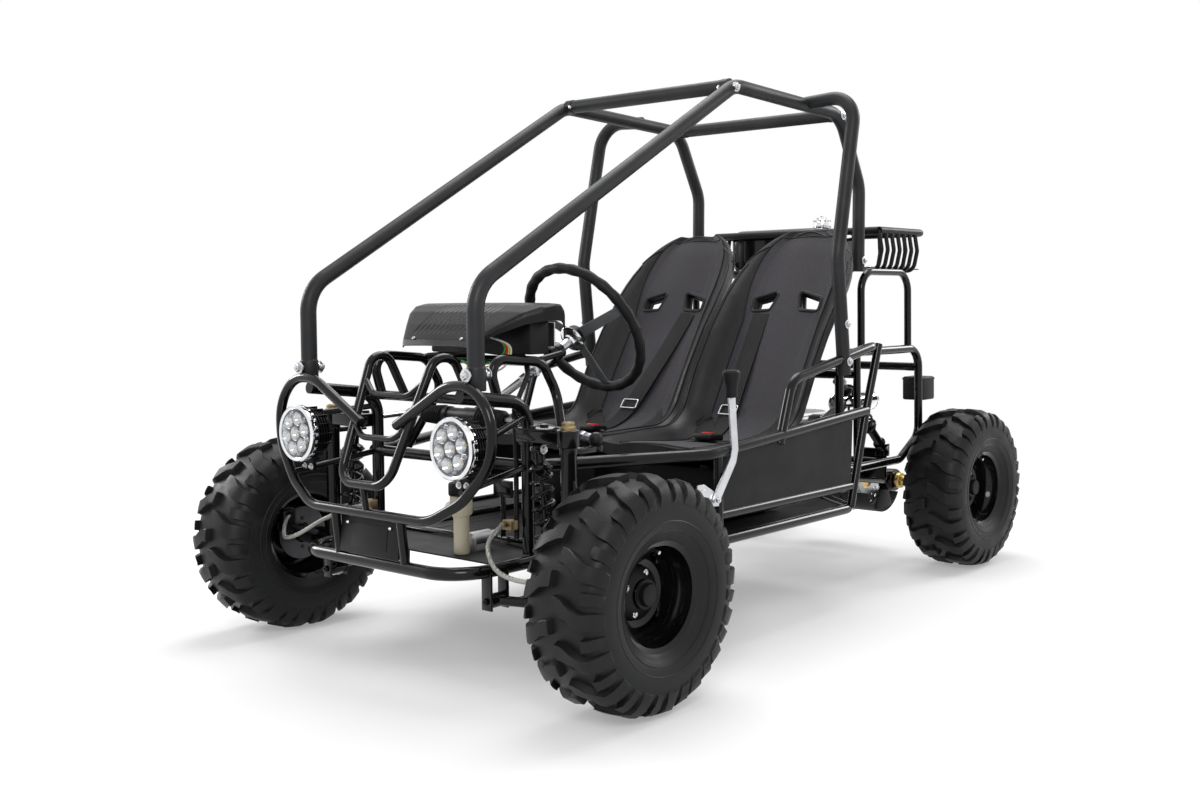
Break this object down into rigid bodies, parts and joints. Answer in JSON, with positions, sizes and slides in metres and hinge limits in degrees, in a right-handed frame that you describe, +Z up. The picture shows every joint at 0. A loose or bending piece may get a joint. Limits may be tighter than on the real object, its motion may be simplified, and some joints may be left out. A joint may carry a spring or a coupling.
{
  "type": "two-seat off-road racing kart",
  "caption": "Two-seat off-road kart with tubular frame, roll cage, bucket seats, steered knobby front wheels and a live rear axle with engine, tank and rack.",
  "frame": {"origin": "on the ground below the middle of the wheelbase", "axes": "+X to the driver's left, +Y to the rear, +Z up"},
  "size_m": [1.155, 1.826, 1.1735],
  "materials": {
    "gloss_black": "gloss powder coat",
    "satin_charcoal": "satin powder coat",
    "bare_steel": "zinc plated",
    "tyre_rubber": "matt rubber",
    "black_plastic": "satin moulded",
    "seat_vinyl": "vinyl with woven inserts",
    "webbing": "woven",
    "lamp": "clear lens over chrome reflectors",
    "cast_alloy": "raw casting"
  },
  "bodies": {
    "chassis": {"brake_reservoir": "black_plastic", "cage_cross_front": "satin_charcoal", "cage_cross_rear": "satin_charcoal", "cage_main_left": "satin_charcoal", "cage_main_right": "satin_charcoal", "cage_side_left": "satin_charcoal", "cage_side_right": "satin_charcoal", "dash_frame": "gloss_black", "drive_chain": "bare_steel", "engine": "cast_alloy", "floor_frame": "gloss_black", "front_shock_left": "black_plastic", "front_shock_right": "black_plastic", "front_tower": "gloss_black", "fuel_cap": "bare_steel", "fuel_tank": "gloss_black", "harness_left": "webbing", "harness_right": "webbing", "head_lamp_left": "lamp", "head_lamp_right": "lamp", "hood": "black_plastic", "lower_arm_left": "gloss_black", "lower_arm_right": "gloss_black", "nose_frame": "gloss_black", "nose_hoop": "gloss_black", "pedals": "bare_steel", "plate_bracket": "black_plastic", "rack_housing": "black_plastic", "rear_frame": "gloss_black", "rear_rack": "black_plastic", "rear_shock_left": "black_plastic", "rear_shock_right": "black_plastic", "seat_left": "seat_vinyl", "seat_right": "seat_vinyl", "shift_lever": "bare_steel", "side_frame_left": "gloss_black", "side_frame_right": "gloss_black", "swing_arm": "gloss_black", "tail_box": "black_plastic", "upper_arm_left": "gloss_black", "upper_arm_right": "gloss_black"},
    "steering_wheel": {"steering_wheel": "black_plastic"},
    "steering_shaft": {"steering_shaft": "bare_steel"},
    "steering_rack": {"steering_rack": "bare_steel"},
    "knuckle_left": {"knuckle_left": "gloss_black"},
    "knuckle_right": {"knuckle_right": "gloss_black"},
    "wheel_front_left": {"front_rim_left": "gloss_black", "front_tyre_left": "tyre_rubber"},
    "wheel_front_right": {"front_rim_right": "gloss_black", "front_tyre_right": "tyre_rubber"},
    "rear_wheels": {"rear_axle": "bare_steel", "rear_rim_left": "gloss_black", "rear_rim_right": "gloss_black", "rear_tyre_left": "tyre_rubber", "rear_tyre_right": "tyre_rubber"}
  },
  "joints": [
    {"name": "steering_wheel_turn", "type": "hinge", "parent": "chassis", "child": "steering_wheel", "pos_m": [0.13, -0.445, 0.641], "axis": [0, 0.8721, 0.4894], "range_deg": [-60, 60]},
    {"name": "steering_shaft_turn", "type": "hinge", "parent": "chassis", "child": "steering_shaft", "pos_m": [0.03, -0.65, 0.472], "axis": [0.6816, 0.4165, 0.6016], "range_deg": [-60, 60]},
    {"name": "rack_slide", "type": "slide", "parent": "chassis", "child": "steering_rack", "axis": [1, 0, 0], "range_m": [-0.02958, 0.02958]},
    {"name": "kingpin_left", "type": "hinge", "parent": "chassis", "child": "knuckle_left", "pos_m": [0.345, -0.71, 0.203], "axis": [0, 0, 1], "range_deg": [-25, 25]},
    {"name": "kingpin_right", "type": "hinge", "parent": "chassis", "child": "knuckle_right", "pos_m": [-0.345, -0.71, 0.203], "axis": [0, 0, 1], "range_deg": [-25, 25]},
    {"name": "front_wheel_left_spin", "type": "hinge", "parent": "knuckle_left", "child": "wheel_front_left", "pos_m": [0.496, -0.71, 0.203], "axis": [1, 0, 0], "continuous": true},
    {"name": "front_wheel_right_spin", "type": "hinge", "parent": "knuckle_right", "child": "wheel_front_right", "pos_m": [-0.496, -0.71, 0.203], "axis": [1, 0, 0], "continuous": true},
    {"name": "rear_axle_spin", "type": "hinge", "parent": "chassis", "child": "rear_wheels", "pos_m": [0, 0.71, 0.203], "axis": [1, 0, 0], "continuous": true}
  ],
  "couplings": [
    {"joint": "steering_shaft_turn", "follows": "steering_wheel_turn", "ratio": 1},
    {"joint": "rack_slide", "follows": "steering_wheel_turn", "m_per_rad": -0.02825},
    {"joint": "kingpin_left", "follows": "steering_wheel_turn", "ratio": 0.41667},
    {"joint": "kingpin_right", "follows": "steering_wheel_turn", "ratio": 0.41667}
  ]
}
